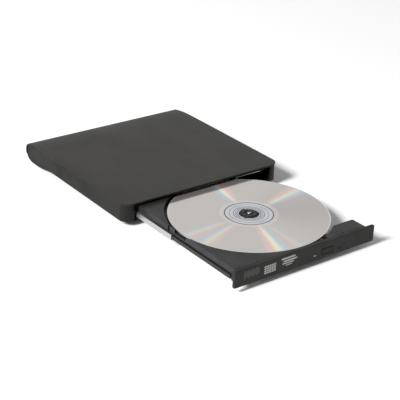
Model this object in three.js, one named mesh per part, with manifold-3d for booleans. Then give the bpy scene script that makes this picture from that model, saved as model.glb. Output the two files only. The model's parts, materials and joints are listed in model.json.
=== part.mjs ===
// External optical disc drive: a slim tray drive in a desktop case, with the tray open.
// Millimetres, +Z up. The tray opens towards -Y, and z = 0 is the surface the feet stand on.
import * as THREE from 'three';
import { mergeVertices } from 'three/addons/utils/BufferGeometryUtils.js';
import Module from 'manifold-3d';

const wasm = await Module();
wasm.setup();

// ---- Driving dimensions -------------------------------------------------------------------

const gap = 0.3;                  // clearance left between neighbouring pieces

// Case, measured from its front face (y = 0)
const caseWidth = 147;
const caseLength = 148;
const caseTop = 19;
const caseUnderside = 4.2;
const humpUnderside = 1.4;        // the rear of the case is thicker than the front
const caseCorner = 8;             // front corners, seen from above
const coverThickness = 1.3;
const coverOverhang = 0.4;        // how far the cover stands out past the sides of the shell
const coverWrapEnd = 7;           // height at which the cover ends behind the hump
const shellSkin = 0.8;            // floor of the bottom shell
const shellWall = 1.6;            // its side walls
const mouthHalfWidth = 64.6;      // the opening between the two front posts
const postDepth = 6.5;

// Slim drive inside the case
const driveHalfWidth = 64;
const driveFront = 7;
const driveRear = 128.1;
const sheet = 0.5;                // steel sheet of the pan and the cover
const panUnderside = 5.3;
const panFloor = panUnderside + sheet;
const stepX = 35.1;               // the pan steps up here, under the overhanging disc
const shelfTop = 12.8;
const panWallTop = 16.2;
const driveCoverTop = 17.1;

// Tray, shown fully open
const trayStroke = 118;
const trayLeft = -59;
const overhangLeft = -60.6;       // the deck reaches out over the left rail
const overhangUnderside = 11.6;
const trayRight = 30.6;
const trayRear = 8.6;
const trayUnderside = 6.9;
const deckTop = 15.9;
const recessFloor = 12.6;
const cavityCeiling = 11.4;
const trayWall = 1.6;
const shoulderRight = 58.1;       // the wide front part of the tray
const shoulderRear = -101.1;
const shoulderUnderside = 13.2;

// Bezel, the front plate of the tray
const bezelHalfWidth = 64;
const bezelFront = -trayStroke;
const bezelThickness = 2.4;
const bezelUnderside = 4.2;
const bezelTop = 16.9;
const trayFront = bezelFront + bezelThickness + gap;
const button = { x0: 13.9, x1: 24.1, z0: 7.3, z1: 11.3 };
const lamp = { x0: 6.2, x1: 8.6, z0: 7.8, z1: 8.8 };
const pinhole = { x: 30.2, z: 7.9, radius: 0.7 };

// Disc and spindle
const disc = { x: 1.4, y: -51.4, radius: 60, hole: 7.5, bottom: 13.6, top: 14.8 };
const recessRadius = 62.4;
const turntableRadius = 13.8;
const shaftRadius = 1.5;
const hubRadius = 7.2;

// Optical pickup, which travels towards the front under the disc
const parkedRadius = 23;          // distance of the lens from the spindle when parked
const pickupTravel = 30;
const guideRod = { radius: 0.9, offset: 20, z: 9.4, y0: -109.9, y1: -40 };
const screw = { x: -28, z: 9.4, radius: 1.2, y0: -105, y1: -48 };

// Telescopic side rails: C-channels that travel half as far as the tray
const rail = { z0: 6.9, z1: 11.1, y0: -42.7, y1: 66, depth: 2.6, sheet: 0.4 };
const tongue = { z0: 7.6, z1: 10.4, y0: -110, depth: 2.5 };
const leftRailOuter = -62.2;
const rightRailOuter = 33.8;

const usb = { x: 20, z: 11, width: 9, height: 3.2, y0: 139.6, y1: 147 };

// ---- Materials ----------------------------------------------------------------------------

function finish(color, roughness, metalness) {
  return new THREE.MeshStandardMaterial({ color, roughness, metalness });
}

const finishes = {
  brushedPlastic: finish(0x4a4946, 0.5, 0.1),
  casePlastic: finish(0x454542, 0.6, 0),
  trayPlastic: finish(0x2b2b2c, 0.45, 0),
  bezelPlastic: finish(0x3a3a39, 0.5, 0),
  rubber: finish(0x1c1c1c, 0.9, 0),
  steel: finish(0xb9bcc0, 0.35, 1),
  brightSteel: finish(0xd5d7da, 0.2, 1),
  blackSteel: finish(0x2a2b2d, 0.4, 0.8),
  board: finish(0x1d5a34, 0.55, 0),
  chip: finish(0x17181a, 0.5, 0),
  creamPlastic: finish(0xd8d3c4, 0.5, 0),
  ribbon: finish(0xe6e2d8, 0.5, 0),
  brass: finish(0xc9a24b, 0.3, 1),
  disc: finish(0xd3d2ce, 0.12, 1),
  glass: finish(0x8fa8c8, 0.05, 0),
  lampPlastic: finish(0xdfe6df, 0.3, 0),
};

// ---- Solids and shapes --------------------------------------------------------------------

// A closed manifold-3d solid from a closed geometry
function solid(geometry) {
  const bare = geometry.clone();
  bare.deleteAttribute('normal');
  bare.deleteAttribute('uv');
  const merged = mergeVertices(bare, 1e-4);
  return new wasm.Manifold(new wasm.Mesh({
    numProp: 3,
    vertProperties: new Float32Array(merged.attributes.position.array),
    triVerts: new Uint32Array(merged.index.array),
  }));
}

function geometryOf(body) {
  const mesh = body.getMesh();
  const geometry = new THREE.BufferGeometry();
  geometry.setAttribute('position', new THREE.Float32BufferAttribute(mesh.vertProperties, 3));
  geometry.setIndex(new THREE.Uint32BufferAttribute(mesh.triVerts, 1));
  geometry.computeVertexNormals();
  return geometry;
}

function join(first, ...others) {
  return others.reduce((whole, other) => whole.add(other), first);
}

function cut(body, ...tools) {
  return tools.reduce((rest, tool) => rest.subtract(tool), body);
}

function box(x0, x1, y0, y1, z0, z1) {
  const geometry = new THREE.BoxGeometry(x1 - x0, y1 - y0, z1 - z0);
  geometry.translate((x0 + x1) / 2, (y0 + y1) / 2, (z0 + z1) / 2);
  return solid(geometry);
}

function upright(radius, x, y, z0, z1, segments = 24) {
  const geometry = new THREE.CylinderGeometry(radius, radius, z1 - z0, segments);
  geometry.rotateX(Math.PI / 2);
  geometry.translate(x, y, (z0 + z1) / 2);
  return solid(geometry);
}

function rodAlongY(radius, x, z, y0, y1, segments = 16) {
  const geometry = new THREE.CylinderGeometry(radius, radius, y1 - y0, segments);
  geometry.translate(x, (y0 + y1) / 2, z);
  return solid(geometry);
}

// A shape drawn in X and Y, extruded upwards
function slab(shape, z0, z1, curveSegments = 8) {
  const geometry = new THREE.ExtrudeGeometry(shape, { depth: z1 - z0, bevelEnabled: false, curveSegments });
  geometry.translate(0, 0, z0);
  return solid(geometry);
}

// A shape drawn in Y and Z, extruded along X
function alongX(shape, x0, x1) {
  const geometry = new THREE.ExtrudeGeometry(shape, { depth: x1 - x0, bevelEnabled: false });
  const swap = new THREE.Matrix4().makeBasis(
    new THREE.Vector3(0, 1, 0), new THREE.Vector3(0, 0, 1), new THREE.Vector3(1, 0, 0));
  geometry.applyMatrix4(swap);
  geometry.translate(x0, 0, 0);
  return solid(geometry);
}

// A shape drawn in X and Z, extruded along Y
function alongY(points, y0, y1) {
  const shape = new THREE.Shape(points.map(([x, z]) => new THREE.Vector2(x, z)));
  const geometry = new THREE.ExtrudeGeometry(shape, { depth: y1 - y0, bevelEnabled: false });
  const swap = new THREE.Matrix4().makeBasis(
    new THREE.Vector3(1, 0, 0), new THREE.Vector3(0, 0, 1), new THREE.Vector3(0, -1, 0));
  geometry.applyMatrix4(swap);
  geometry.translate(0, y1, 0);
  return solid(geometry);
}

// A body turned about a vertical axis, from [radius, z] points that start and end on the axis
function turned(profile, x, y, segments) {
  const points = profile.map(([radius, z]) => new THREE.Vector2(radius, z));
  const geometry = new THREE.LatheGeometry(points, segments);
  geometry.rotateX(Math.PI / 2);
  geometry.translate(x, y, 0);
  return solid(geometry);
}

function roundedRectangle(x0, x1, y0, y1, radius) {
  const shape = new THREE.Shape();
  shape.moveTo(x0 + radius, y0);
  shape.lineTo(x1 - radius, y0);
  shape.absarc(x1 - radius, y0 + radius, radius, -Math.PI / 2, 0);
  shape.lineTo(x1, y1 - radius);
  shape.absarc(x1 - radius, y1 - radius, radius, 0, Math.PI / 2);
  shape.lineTo(x0 + radius, y1);
  shape.absarc(x0 + radius, y1 - radius, radius, Math.PI / 2, Math.PI);
  shape.lineTo(x0, y0 + radius);
  shape.absarc(x0 + radius, y0 + radius, radius, Math.PI, 1.5 * Math.PI);
  return shape;
}

// A closed outline moved inwards by a distance, corner by corner
function inset(points, distance) {
  const count = points.length;
  return points.map((point, i) => {
    const before = point.clone().sub(points[(i + count - 1) % count]).normalize();
    const after = points[(i + 1) % count].clone().sub(point).normalize();
    const inward = new THREE.Vector2(-before.y - after.y, before.x + after.x).normalize();
    const lean = inward.dot(new THREE.Vector2(-before.y, before.x));
    return point.clone().addScaledVector(inward, distance / lean);
  });
}

// ---- Case ---------------------------------------------------------------------------------

// Side view of the case in Y and Z, anticlockwise: flat under the drive, a hump at the rear
function caseOutline(distance = 0) {
  const outline = new THREE.Shape();
  outline.moveTo(2.4, caseUnderside);
  outline.lineTo(106, caseUnderside);
  outline.bezierCurveTo(116, caseUnderside, 120, humpUnderside, 129, humpUnderside);
  outline.lineTo(137, humpUnderside);
  outline.bezierCurveTo(144.6, humpUnderside, caseLength, 5.2, caseLength, 10);
  outline.bezierCurveTo(caseLength, 13.6, 145.8, 16.3, 141.5, 17.1);
  outline.bezierCurveTo(134, 18.6, 126, caseTop, 117, caseTop);
  outline.lineTo(0, caseTop);
  outline.lineTo(0, caseUnderside + 2.4);
  outline.quadraticCurveTo(0, caseUnderside, 2.4, caseUnderside);
  const points = outline.getPoints(10);
  const open = points.filter((point, i) => i === 0 || point.distanceTo(points[i - 1]) > 1e-6);
  if (open[0].distanceTo(open[open.length - 1]) < 1e-6) open.pop();
  return new THREE.Shape(inset(open, distance));
}

// The case seen from above, with round front corners; it runs on past the rear
function casePlan(distance = 0) {
  const side = caseWidth / 2 - distance;
  const radius = caseCorner - distance;
  const shape = new THREE.Shape();
  shape.moveTo(-side + radius, distance);
  shape.lineTo(side - radius, distance);
  shape.absarc(side - radius, distance + radius, radius, -Math.PI / 2, 0);
  shape.lineTo(side, caseLength + 5);
  shape.lineTo(-side, caseLength + 5);
  shape.lineTo(-side, distance + radius);
  shape.absarc(-side + radius, distance + radius, radius, Math.PI, 1.5 * Math.PI);
  return slab(shape, 0, 30);
}

// The part of the case that belongs to the cover: its top, and its rear down to the wrap's end
function coverZone(grow) {
  const top = box(-90, 90, -5, 125, caseTop - coverThickness - grow, 30);
  const rear = box(-90, 90, 120, 160, coverWrapEnd - grow, 30);
  return join(top, rear);
}

const caseScrewPlaces = [[-68.6, 20], [68.6, 20], [-68.6, 112], [68.6, 112]];
const footPlaces = [
  ['foot_front_left', -58, 15], ['foot_front_right', 58, 15],
  ['foot_rear_left', -58, 133], ['foot_rear_right', 58, 133],
];
const footRadius = 6.5;
const frontBossUnderside = 2.2;
const screwSplit = 14.2;          // height where the shell's screw posts meet the cover's

function topCover() {
  const outer = alongX(caseOutline(), -caseWidth / 2, caseWidth / 2).intersect(casePlan());
  const inner = alongX(caseOutline(coverThickness), -100, 100);
  const wrap = outer.subtract(inner).intersect(coverZone(0));
  const posts = caseScrewPlaces.map(([x, y]) => cut(
    upright(2.8, x, y, screwSplit + gap, caseTop - 0.5, 20),
    upright(1.6, x, y, screwSplit - 1, caseTop - 2.6, 16)));
  const usbWindow = box(usb.x - usb.width / 2 - gap, usb.x + usb.width / 2 + gap, 138, 150,
    usb.z - usb.height / 2 - gap, usb.z + usb.height / 2 + gap);
  return cut(join(wrap, ...posts), usbWindow);
}

function bottomShell() {
  const side = caseWidth / 2 - coverOverhang;
  const body = alongX(caseOutline(), -side, side).intersect(casePlan(coverOverhang));
  const coverSpace = alongX(caseOutline(), -100, 100)
    .subtract(alongX(caseOutline(coverThickness + gap), -110, 110))
    .intersect(coverZone(gap));
  const hollow = alongX(caseOutline(shellSkin), -100, 100);
  const mouth = hollow.intersect(box(-mouthHalfWidth, mouthHalfWidth, -1, postDepth + 1, 0, 30));
  const room = hollow.intersect(box(-side + shellWall, side - shellWall, postDepth, 160, 0, 30));
  const mouthFloor = box(-mouthHalfWidth, mouthHalfWidth, -1, bezelThickness + 0.8, 0, 30);
  const tub = cut(body, coverSpace, mouth, room, mouthFloor, box(-90, 90, -5, 160, 18, 30));
  const posts = caseScrewPlaces.map(([x, y]) => upright(3.4, x, y, caseUnderside + 0.2, screwSplit, 20));
  const screwHoles = caseScrewPlaces.flatMap(([x, y]) => [
    upright(1.7, x, y, 0, screwSplit + 1, 16),
    upright(2.6, x, y, 0, caseUnderside + 1.5, 20),
  ]);
  const bosses = footPlaces.slice(0, 2).map(([, x, y]) =>
    upright(footRadius + 1, x, y, frontBossUnderside, caseUnderside + 0.4, 32));
  const ribs = [];
  for (const y of [40, 66, 92]) {
    ribs.push(box(-side + 1, -65.6, y, y + 1.4, caseUnderside + 0.3, 12));
    ribs.push(box(65.6, side - 1, y, y + 1.4, caseUnderside + 0.3, 12));
  }
  return cut(join(tub, ...posts, ...bosses, ...ribs), ...screwHoles);
}

function foot(x, y, ceiling) {
  const top = ceiling - gap;
  const profile = [[0, 0], [footRadius - 0.4, 0], [footRadius, 0.4], [footRadius, top], [0, top]];
  return turned(profile, x, y, 32);
}

// A screw driven upwards, with a cross recess in its head
function screwUp(x, y, headZ, headRadius, headHeight, shankRadius, length) {
  const head = upright(headRadius, x, y, headZ, headZ + headHeight, 20);
  const shank = upright(shankRadius, x, y, headZ + headHeight - 0.1, headZ + length, 12);
  const arm = headRadius * 0.62;
  const width = headRadius * 0.17;
  const depth = headHeight * 0.55;
  const cross = join(
    box(x - arm, x + arm, y - width, y + width, headZ - 1, headZ + depth),
    box(x - width, x + width, y - arm, y + arm, headZ - 1, headZ + depth));
  return cut(join(head, shank), cross);
}

// ---- Fixed part of the slim drive ---------------------------------------------------------

const driveConnector = { x0: -50, x1: -12, z0: 9.5, z1: 14 };

function drivePan() {
  const profile = [
    [-driveHalfWidth, panUnderside], [stepX + sheet, panUnderside], [stepX + sheet, shelfTop - sheet],
    [driveHalfWidth, shelfTop - sheet], [driveHalfWidth, panWallTop],
    [driveHalfWidth - sheet, panWallTop], [driveHalfWidth - sheet, shelfTop], [stepX, shelfTop],
    [stepX, panFloor], [-driveHalfWidth + sheet, panFloor], [-driveHalfWidth + sheet, panWallTop],
    [-driveHalfWidth, panWallTop],
  ];
  const channel = alongY(profile, driveFront, driveRear);
  const rearWall = alongY([
    [-driveHalfWidth, panUnderside], [stepX + sheet, panUnderside], [stepX + sheet, shelfTop - sheet],
    [driveHalfWidth, shelfTop - sheet], [driveHalfWidth, panWallTop], [-driveHalfWidth, panWallTop],
  ], driveRear - sheet, driveRear);
  const port = box(driveConnector.x0 - gap, driveConnector.x1 + gap, driveRear - 2, driveRear + 2,
    driveConnector.z0 - gap, driveConnector.z1 + gap);
  return cut(join(channel, rearWall), port);
}

function driveCover() {
  const half = driveHalfWidth + gap + sheet;
  const top = driveCoverTop;
  const profile = [
    [-half, 12.4], [-half + sheet, 12.4], [-half + sheet, top - sheet], [half - sheet, top - sheet],
    [half - sheet, 13.4], [half, 13.4], [half, top], [-half, top],
  ];
  return alongY(profile, driveFront + 0.3, driveRear);
}

// An L-section that keeps a rail against the pan's side; side is -1 on the left, 1 on the right
function railGuide(outer, side) {
  const wall = outer + side * gap;
  const profile = [
    [wall, panFloor + gap], [wall, rail.z1 + gap], [wall - side * 1.6, rail.z1 + gap],
    [wall - side * 1.6, rail.z1 + gap + 0.6], [wall + side * 0.7, rail.z1 + gap + 0.6],
    [wall + side * 0.7, panFloor + gap],
  ];
  return alongY(side > 0 ? profile.reverse() : profile, driveFront + 1.5, driveRear - 2.5);
}

function connectorBlock({ x0, x1, z0, z1 }, y0, y1, pocketFromRear) {
  const block = box(x0, x1, y0, y1, z0, z1);
  const pocketFront = pocketFromRear ? y0 + 1.2 : y0 - 1;
  const pocketRear = pocketFromRear ? y1 + 1 : y1 - 1.2;
  const pocket = box(x0 + 1, x1 - 1, pocketFront, pocketRear, z0 + 1, z1 - 1);
  const blade = box(x0 + 2.5, x1 - 2.5, y0 + 0.2, y1 - 0.2, z0 + 1.9, z1 - 1.9);
  return join(cut(block, pocket), blade);
}

function usbSocket() {
  const halfWidth = usb.width / 2;
  const halfHeight = usb.height / 2;
  const can = roundedRectangle(-halfWidth, halfWidth, -halfHeight, halfHeight, halfHeight - 0.05);
  const bore = roundedRectangle(-halfWidth + 0.35, halfWidth - 0.35, -halfHeight + 0.35,
    halfHeight - 0.35, halfHeight - 0.4);
  const toRear = (shape, y0, y1) => {
    const geometry = new THREE.ExtrudeGeometry(shape, { depth: y1 - y0, bevelEnabled: false, curveSegments: 6 });
    geometry.rotateX(Math.PI / 2);
    geometry.translate(usb.x, y1, usb.z);
    return solid(geometry);
  };
  const blade = box(usb.x - 3.2, usb.x + 3.2, usb.y0 + 0.5, usb.y1 - 0.8, usb.z - 0.35, usb.z + 0.35);
  return join(cut(toRear(can, usb.y0, usb.y1), toRear(bore, usb.y0 + 1, usb.y1 + 1)), blade);
}

const ribbon = { x0: 4, x1: 20, thickness: 0.3, z: panFloor + gap };

// Flat cable lying on the pan's floor and rising to the connector at the rear
function ribbonCable() {
  const flat = box(ribbon.x0, ribbon.x1, 14, 127.2, ribbon.z, ribbon.z + ribbon.thickness);
  const riser = box(ribbon.x0, ribbon.x1, 126.9, 127.2, ribbon.z, 10);
  return join(flat, riser);
}

// ---- Tray ---------------------------------------------------------------------------------

const frontSlot = { x0: 5.4, x1: 31.4, z0: 6.9, z1: 11.8 };
const latch = { x: 24, y: 120, radius: 1.2, pivotX: 18.8, pivotY: -9, tipY: 6.4, z0: 7.8, z1: 9.2 };

// Small round dents in the deck behind the bezel
const deckDents = [[-55.6, -112.4], [-40.2, -112.4], [14.6, -112.4], [38, -112.4], [52, -112.4]];

function tray() {
  const front = trayFront;
  const deck = new THREE.Shape();
  deck.moveTo(trayLeft, front);
  deck.lineTo(shoulderRight, front);
  deck.lineTo(shoulderRight, shoulderRear - 0.8);
  deck.lineTo(shoulderRight - 0.8, shoulderRear);
  deck.lineTo(trayRight, shoulderRear);
  deck.lineTo(trayRight, trayRear);
  deck.lineTo(trayLeft, trayRear);
  const wide = slab(deck, shoulderUnderside, deckTop);
  const frontWall = box(trayLeft, shoulderRight, front, front + 1.8, trayUnderside, deckTop);
  const main = box(trayLeft, trayRight, front, trayRear, trayUnderside, deckTop);
  const overhang = box(overhangLeft, trayLeft + 1, front, trayRear, overhangUnderside, deckTop);
  const cavity = box(trayLeft + trayWall, trayRight - trayWall, front + 1.8, trayRear - trayWall,
    trayUnderside - 1, cavityCeiling);
  const recess = upright(recessRadius, disc.x, disc.y, recessFloor, deckTop + 1, 96);
  const spindleWindow = upright(turntableRadius + 2, disc.x, disc.y, 5, 20, 48);
  const lensWindow = box(disc.x - 9, disc.x + 9, disc.y - parkedRadius - pickupTravel - 5.2, disc.y,
    cavityCeiling - 1, recessFloor + 1);
  const sideTongues = [
    box(trayLeft - tongue.depth, trayLeft + 1, tongue.y0, trayRear, tongue.z0, tongue.z1),
    box(trayRight - 1, trayRight + tongue.depth, -98, trayRear, tongue.z0, tongue.z1),
  ];
  const slot = box(frontSlot.x0, frontSlot.x1, front - 1, front + 2.5, frontSlot.z0, frontSlot.z1);
  const latchSlot = box(latch.x - 2.2, latch.x + 2.2, trayRear - trayWall - 1, trayRear + 1,
    trayUnderside - 1, 10.4);
  const dents = deckDents.map(([x, y]) => upright(0.7, x, y, deckTop - 0.5, deckTop + 1, 12));
  const catchSlot = box(19.4, 23.4, front + 2.4, front + 4.6, deckTop - 1.6, deckTop + 1);
  const railNotch = box(overhangLeft - 1, overhangLeft + 1.2, -38.8, -36.2, overhangUnderside - 1, deckTop + 1);
  const groove = box(overhangLeft - 1, shoulderRight + 1, front + 1.6, front + 2, deckTop - 0.3, deckTop + 1);
  const whole = join(wide, frontWall, main, overhang, ...sideTongues);
  return cut(whole, cavity, recess, spindleWindow, lensWindow, slot, latchSlot, catchSlot, railNotch,
    groove, ...dents);
}

function bezel() {
  const plate = roundedRectangle(-bezelHalfWidth, bezelHalfWidth, bezelUnderside, bezelTop, 0.9);
  const geometry = new THREE.ExtrudeGeometry(plate, {
    depth: bezelThickness - 0.8, bevelEnabled: true, bevelSegments: 2, bevelSize: 0.4,
    bevelThickness: 0.4, bevelOffset: -0.4, curveSegments: 4,
  });
  geometry.rotateX(Math.PI / 2);
  geometry.translate(0, bezelFront + bezelThickness - 0.4, 0);
  const endRibs = [-1, 1].map((side) => {
    const inner = side * (bezelHalfWidth - 1.6);
    const outer = side * (bezelHalfWidth - 0.4);
    return box(Math.min(inner, outer), Math.max(inner, outer), bezelFront + 1.5, bezelFront + 4,
      bezelUnderside + 5, bezelTop - 3);
  });
  const buttonWindow = box(button.x0 - gap, button.x1 + gap, bezelFront - 1, bezelFront + 4,
    button.z0 - gap, button.z1 + gap);
  const lampWindow = box(lamp.x0 - gap, lamp.x1 + gap, bezelFront - 1, bezelFront + 4,
    lamp.z0 - gap, lamp.z1 + gap);
  const releaseHole = rodAlongY(pinhole.radius, pinhole.x, pinhole.z, bezelFront - 1, bezelFront + 4, 12);
  return cut(join(solid(geometry), ...endRibs), buttonWindow, lampWindow, releaseHole);
}

const bottomPlateTop = trayUnderside + 0.5;

function trayBottomPlate() {
  const plate = box(trayLeft + trayWall + gap, trayRight - trayWall - gap, trayFront + 1.8 + gap,
    trayRear - trayWall - gap, trayUnderside + 0.1, bottomPlateTop);
  const slot = box(latch.x - 2.6, latch.x + 2.6, -1, trayRear, trayUnderside - 1, bottomPlateTop + 1);
  const holes = trayScrewPlaces.map(([x, y]) => upright(1.1, x, y, 5, 9, 16));
  return cut(plate, slot, ...holes);
}

const trayScrewPlaces = [[-53, -98], [-53, 3], [2, 3], [25.5, -28]];

// Posts under the tray's ceiling that the bottom plate's screws go into
function trayScrewPosts() {
  return trayScrewPlaces.map(([x, y]) => cut(
    upright(2.1, x, y, bottomPlateTop + gap, cavityCeiling + 0.3, 16),
    upright(1.0, x, y, bottomPlateTop, cavityCeiling - 0.5, 12)));
}

const sledReach = disc.y - parkedRadius;     // the lens's place when parked
const mechanism = { x0: -23.6, x1: 26.4, y0: -110.6, y1: -34, z0: 7.7, z1: 8.4 };

// Flat steel frame of the mechanism, with lugs for the guide rods
function mechanismFrame() {
  const { x0, x1, y0, y1, z0, z1 } = mechanism;
  const plate = box(x0, x1, y0, y1, z0, z1);
  const opening = box(disc.x - 23.8, disc.x + 23.8, y0 + 1, -46, z0 - 1, z1 + 1);
  const spindleArm = box(disc.x - 14.6, disc.x + 14.6, -66.4, -45, z0, z1);
  const lugs = [];
  for (const side of [-1, 1]) {
    const x = disc.x + side * guideRod.offset;
    for (const y of [y0, -43]) lugs.push(box(x - 2, x + 2, y, y + 1, z1 - 0.2, 10.9));
  }
  const bores = [-1, 1].map((side) =>
    rodAlongY(guideRod.radius + gap, disc.x + side * guideRod.offset, guideRod.z, y0 - 1, -38));
  const floor = cut(plate, opening);
  return cut(join(floor, spindleArm, ...lugs), ...bores);
}

function spindleBase() {
  const base = upright(13.4, disc.x, disc.y, mechanism.z1 + gap, 9.4, 40);
  const tail = box(disc.x - 6, disc.x + 6, disc.y, disc.y + 20, mechanism.z1 + gap, 9.4);
  const sleeve = upright(shaftRadius + gap, disc.x, disc.y, 8, 10, 24);
  return cut(join(base, tail), sleeve);
}

// Motor can, disc seat and shaft in one turning piece
function turntable() {
  const { x, y, bottom } = disc;
  const seat = bottom - gap;
  const profile = [
    [0, 8.8], [shaftRadius, 8.8], [shaftRadius, 9.7], [turntableRadius - 0.6, 9.7],
    [turntableRadius - 0.6, 12.2], [turntableRadius, 12.5], [turntableRadius, seat - 0.2],
    [turntableRadius - 0.2, seat], [turntableRadius - 3.4, seat], [turntableRadius - 3.4, seat - 0.3],
    [shaftRadius, seat - 0.3], [shaftRadius, 15.5], [0, 15.7],
  ];
  return turned(profile, x, y, 48);
}

// Snap-on hub that centres the disc, with three moulded spring fingers
function hub() {
  const { x, y, bottom } = disc;
  const body = turned([
    [0, bottom], [hubRadius, bottom], [hubRadius, 14.9], [hubRadius - 0.5, 15.4],
    [shaftRadius + 2.2, 15.4], [shaftRadius + 1.6, 15.0], [0, 15.0],
  ], x, y, 48);
  const slots = [];
  for (let finger = 0; finger < 3; finger += 1) {
    for (const side of [-1, 1]) {
      const cutter = new THREE.BoxGeometry(3.4, 0.4, 3);
      cutter.translate(hubRadius - 1.2, side * 1.9, 15.3);
      cutter.rotateZ(finger * 2 * Math.PI / 3 + Math.PI / 2);
      cutter.translate(x, y, 0);
      slots.push(solid(cutter));
    }
  }
  return cut(body, upright(shaftRadius + gap, x, y, 13, 16, 24), ...slots);
}

function opticalDisc() {
  const { x, y, radius, hole, bottom, top } = disc;
  const plate = turned([[0, bottom], [radius, bottom], [radius, top], [0, top]], x, y, 96);
  return plate.subtract(upright(hole, x, y, bottom - 1, top + 1, 48));
}

// ---- Pickup -------------------------------------------------------------------------------

function pickupSled() {
  const { x } = disc;
  const top = 11;
  const bridge = box(x - 23, x + 23, sledReach - 4.4, sledReach + 7, 7.8, top);
  const arms = [-1, 1].map((side) => {
    const inner = x + side * 17.2;
    const outer = x + side * 23;
    return box(Math.min(inner, outer), Math.max(inner, outer), sledReach + 6, sledReach + 18, 7.8, top);
  });
  const nutArm = box(screw.x - 2.4, x - 22, sledReach + 6, sledReach + 12, 8.8, top);
  const lensWell = box(x - 5.4, x + 5.4, sledReach - 3.6, sledReach + 5.4, 9, 12);
  const bores = [-1, 1].map((side) => rodAlongY(guideRod.radius + gap, x + side * guideRod.offset,
    guideRod.z, sledReach - 6, sledReach + 20));
  const thread = rodAlongY(screw.radius + gap, screw.x, screw.z, sledReach, sledReach + 20);
  return cut(join(bridge, ...arms, nutArm), lensWell, thread, ...bores);
}

function lensHolder() {
  const { x } = disc;
  const y = sledReach + 0.9;
  const body = box(x - 4.6, x + 4.6, y - 3.9, y + 3.9, 9.6, 12.2);
  const seat = upright(2.3, x, y, 11, 13, 24);
  return cut(body, seat);
}

function objectiveLens() {
  const base = 11.3;
  return turned([
    [0, base], [2.0, base], [2.0, 11.9], [1.7, 12.35], [1.1, 12.65], [0.5, 12.8], [0, 12.84],
  ], disc.x, sledReach + 0.9, 24);
}

function sledMotor() {
  const shape = roundedRectangle(screw.x - 4, screw.x + 4, 7.8, 11, 1.5);
  const geometry = new THREE.ExtrudeGeometry(shape, { depth: 12, bevelEnabled: false, curveSegments: 5 });
  geometry.rotateX(Math.PI / 2);
  geometry.translate(0, screw.y1 + gap + 12, 0);
  return solid(geometry);
}

// ---- Electronics in the tray ----------------------------------------------------------------

const controlBoard = { z0: 10, z1: 11 };

function trayBoard() {
  const side = box(-56.8, -36, -108, 6.2, controlBoard.z0, controlBoard.z1);
  const rear = box(-56.8, 8, -30, 6.2, controlBoard.z0, controlBoard.z1);
  const holes = trayScrewPlaces.map(([x, y]) => upright(2.6, x, y, 9, 12, 16));
  return cut(join(side, rear), ...holes);
}

// Lever whose barb swings behind the pan's latch post when the tray is shut
function latchHook() {
  const { x, pivotX, pivotY, tipY, z0, z1 } = latch;
  const boss = upright(2, pivotX, pivotY, z0, z1 + 0.2, 20);
  const arm = box(pivotX - 0.9, pivotX + 0.9, pivotY, tipY, z0, z1);
  const barb = box(pivotX, x - 3, tipY - 1.6, tipY, z0, z1);
  return cut(join(boss, arm, barb), upright(0.9, pivotX, pivotY, z0 - 1, z1 + 1, 16));
}

// ---- Assembly -------------------------------------------------------------------------------

const pieces = new THREE.Group();

function add(name, body, material) {
  const mesh = new THREE.Mesh(geometryOf(body), material);
  mesh.name = name;
  pieces.add(mesh);
}

function addRail(name, outer, side) {
  const inner = outer - side * rail.depth;
  const web = outer - side * rail.sheet;
  const profile = [
    [outer, rail.z0], [inner, rail.z0], [inner, rail.z0 + rail.sheet], [web, rail.z0 + rail.sheet],
    [web, rail.z1 - rail.sheet], [inner, rail.z1 - rail.sheet], [inner, rail.z1], [outer, rail.z1],
  ];
  add(name, alongY(side > 0 ? profile.reverse() : profile, rail.y0, rail.y1), finishes.brightSteel);
}

function addCase() {
  add('top_cover', topCover(), finishes.brushedPlastic);
  add('bottom_shell', bottomShell(), finishes.casePlastic);
  footPlaces.forEach(([name, x, y], i) => {
    add(name, foot(x, y, i < 2 ? frontBossUnderside : humpUnderside), finishes.rubber);
  });
  caseScrewPlaces.forEach(([x, y], i) => {
    add(`case_screw_${i + 1}`, screwUp(x, y, caseUnderside + 0.2, 2.3, 1, 1.2, 11), finishes.blackSteel);
  });
}

function addDriveBody() {
  const { x0, x1, z0, z1 } = driveConnector;
  add('drive_pan', drivePan(), finishes.steel);
  add('drive_cover', driveCover(), finishes.steel);
  add('rail_guide_left', railGuide(leftRailOuter, -1), finishes.chip);
  add('rail_guide_right', railGuide(rightRailOuter, 1), finishes.chip);
  add('drive_connector', connectorBlock(driveConnector, driveRear - 0.9, driveRear + 2.6, true), finishes.chip);
  add('bridge_connector', connectorBlock({ x0: x0 - 1, x1: x1 + 1, z0, z1: z1 + 0.4 }, driveRear + 3,
    driveRear + 7, false), finishes.creamPlastic);
  add('bridge_board', box(-54, 32, driveRear + 2.9, 143.6, 8.2, 9.2), finishes.board);
  add('bridge_chip', box(-4, 4, 134, 141, 9.5, 10.6), finishes.chip);
  add('bridge_crystal', box(9, 12.4, 134, 138, 9.5, 11), finishes.steel);
  add('usb_socket', usbSocket(), finishes.steel);
  add('ribbon_cable', ribbonCable(), finishes.ribbon);
  add('latch_post', upright(latch.radius, latch.x, latch.y, panFloor + gap, 9.6, 20), finishes.steel);
}

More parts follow.
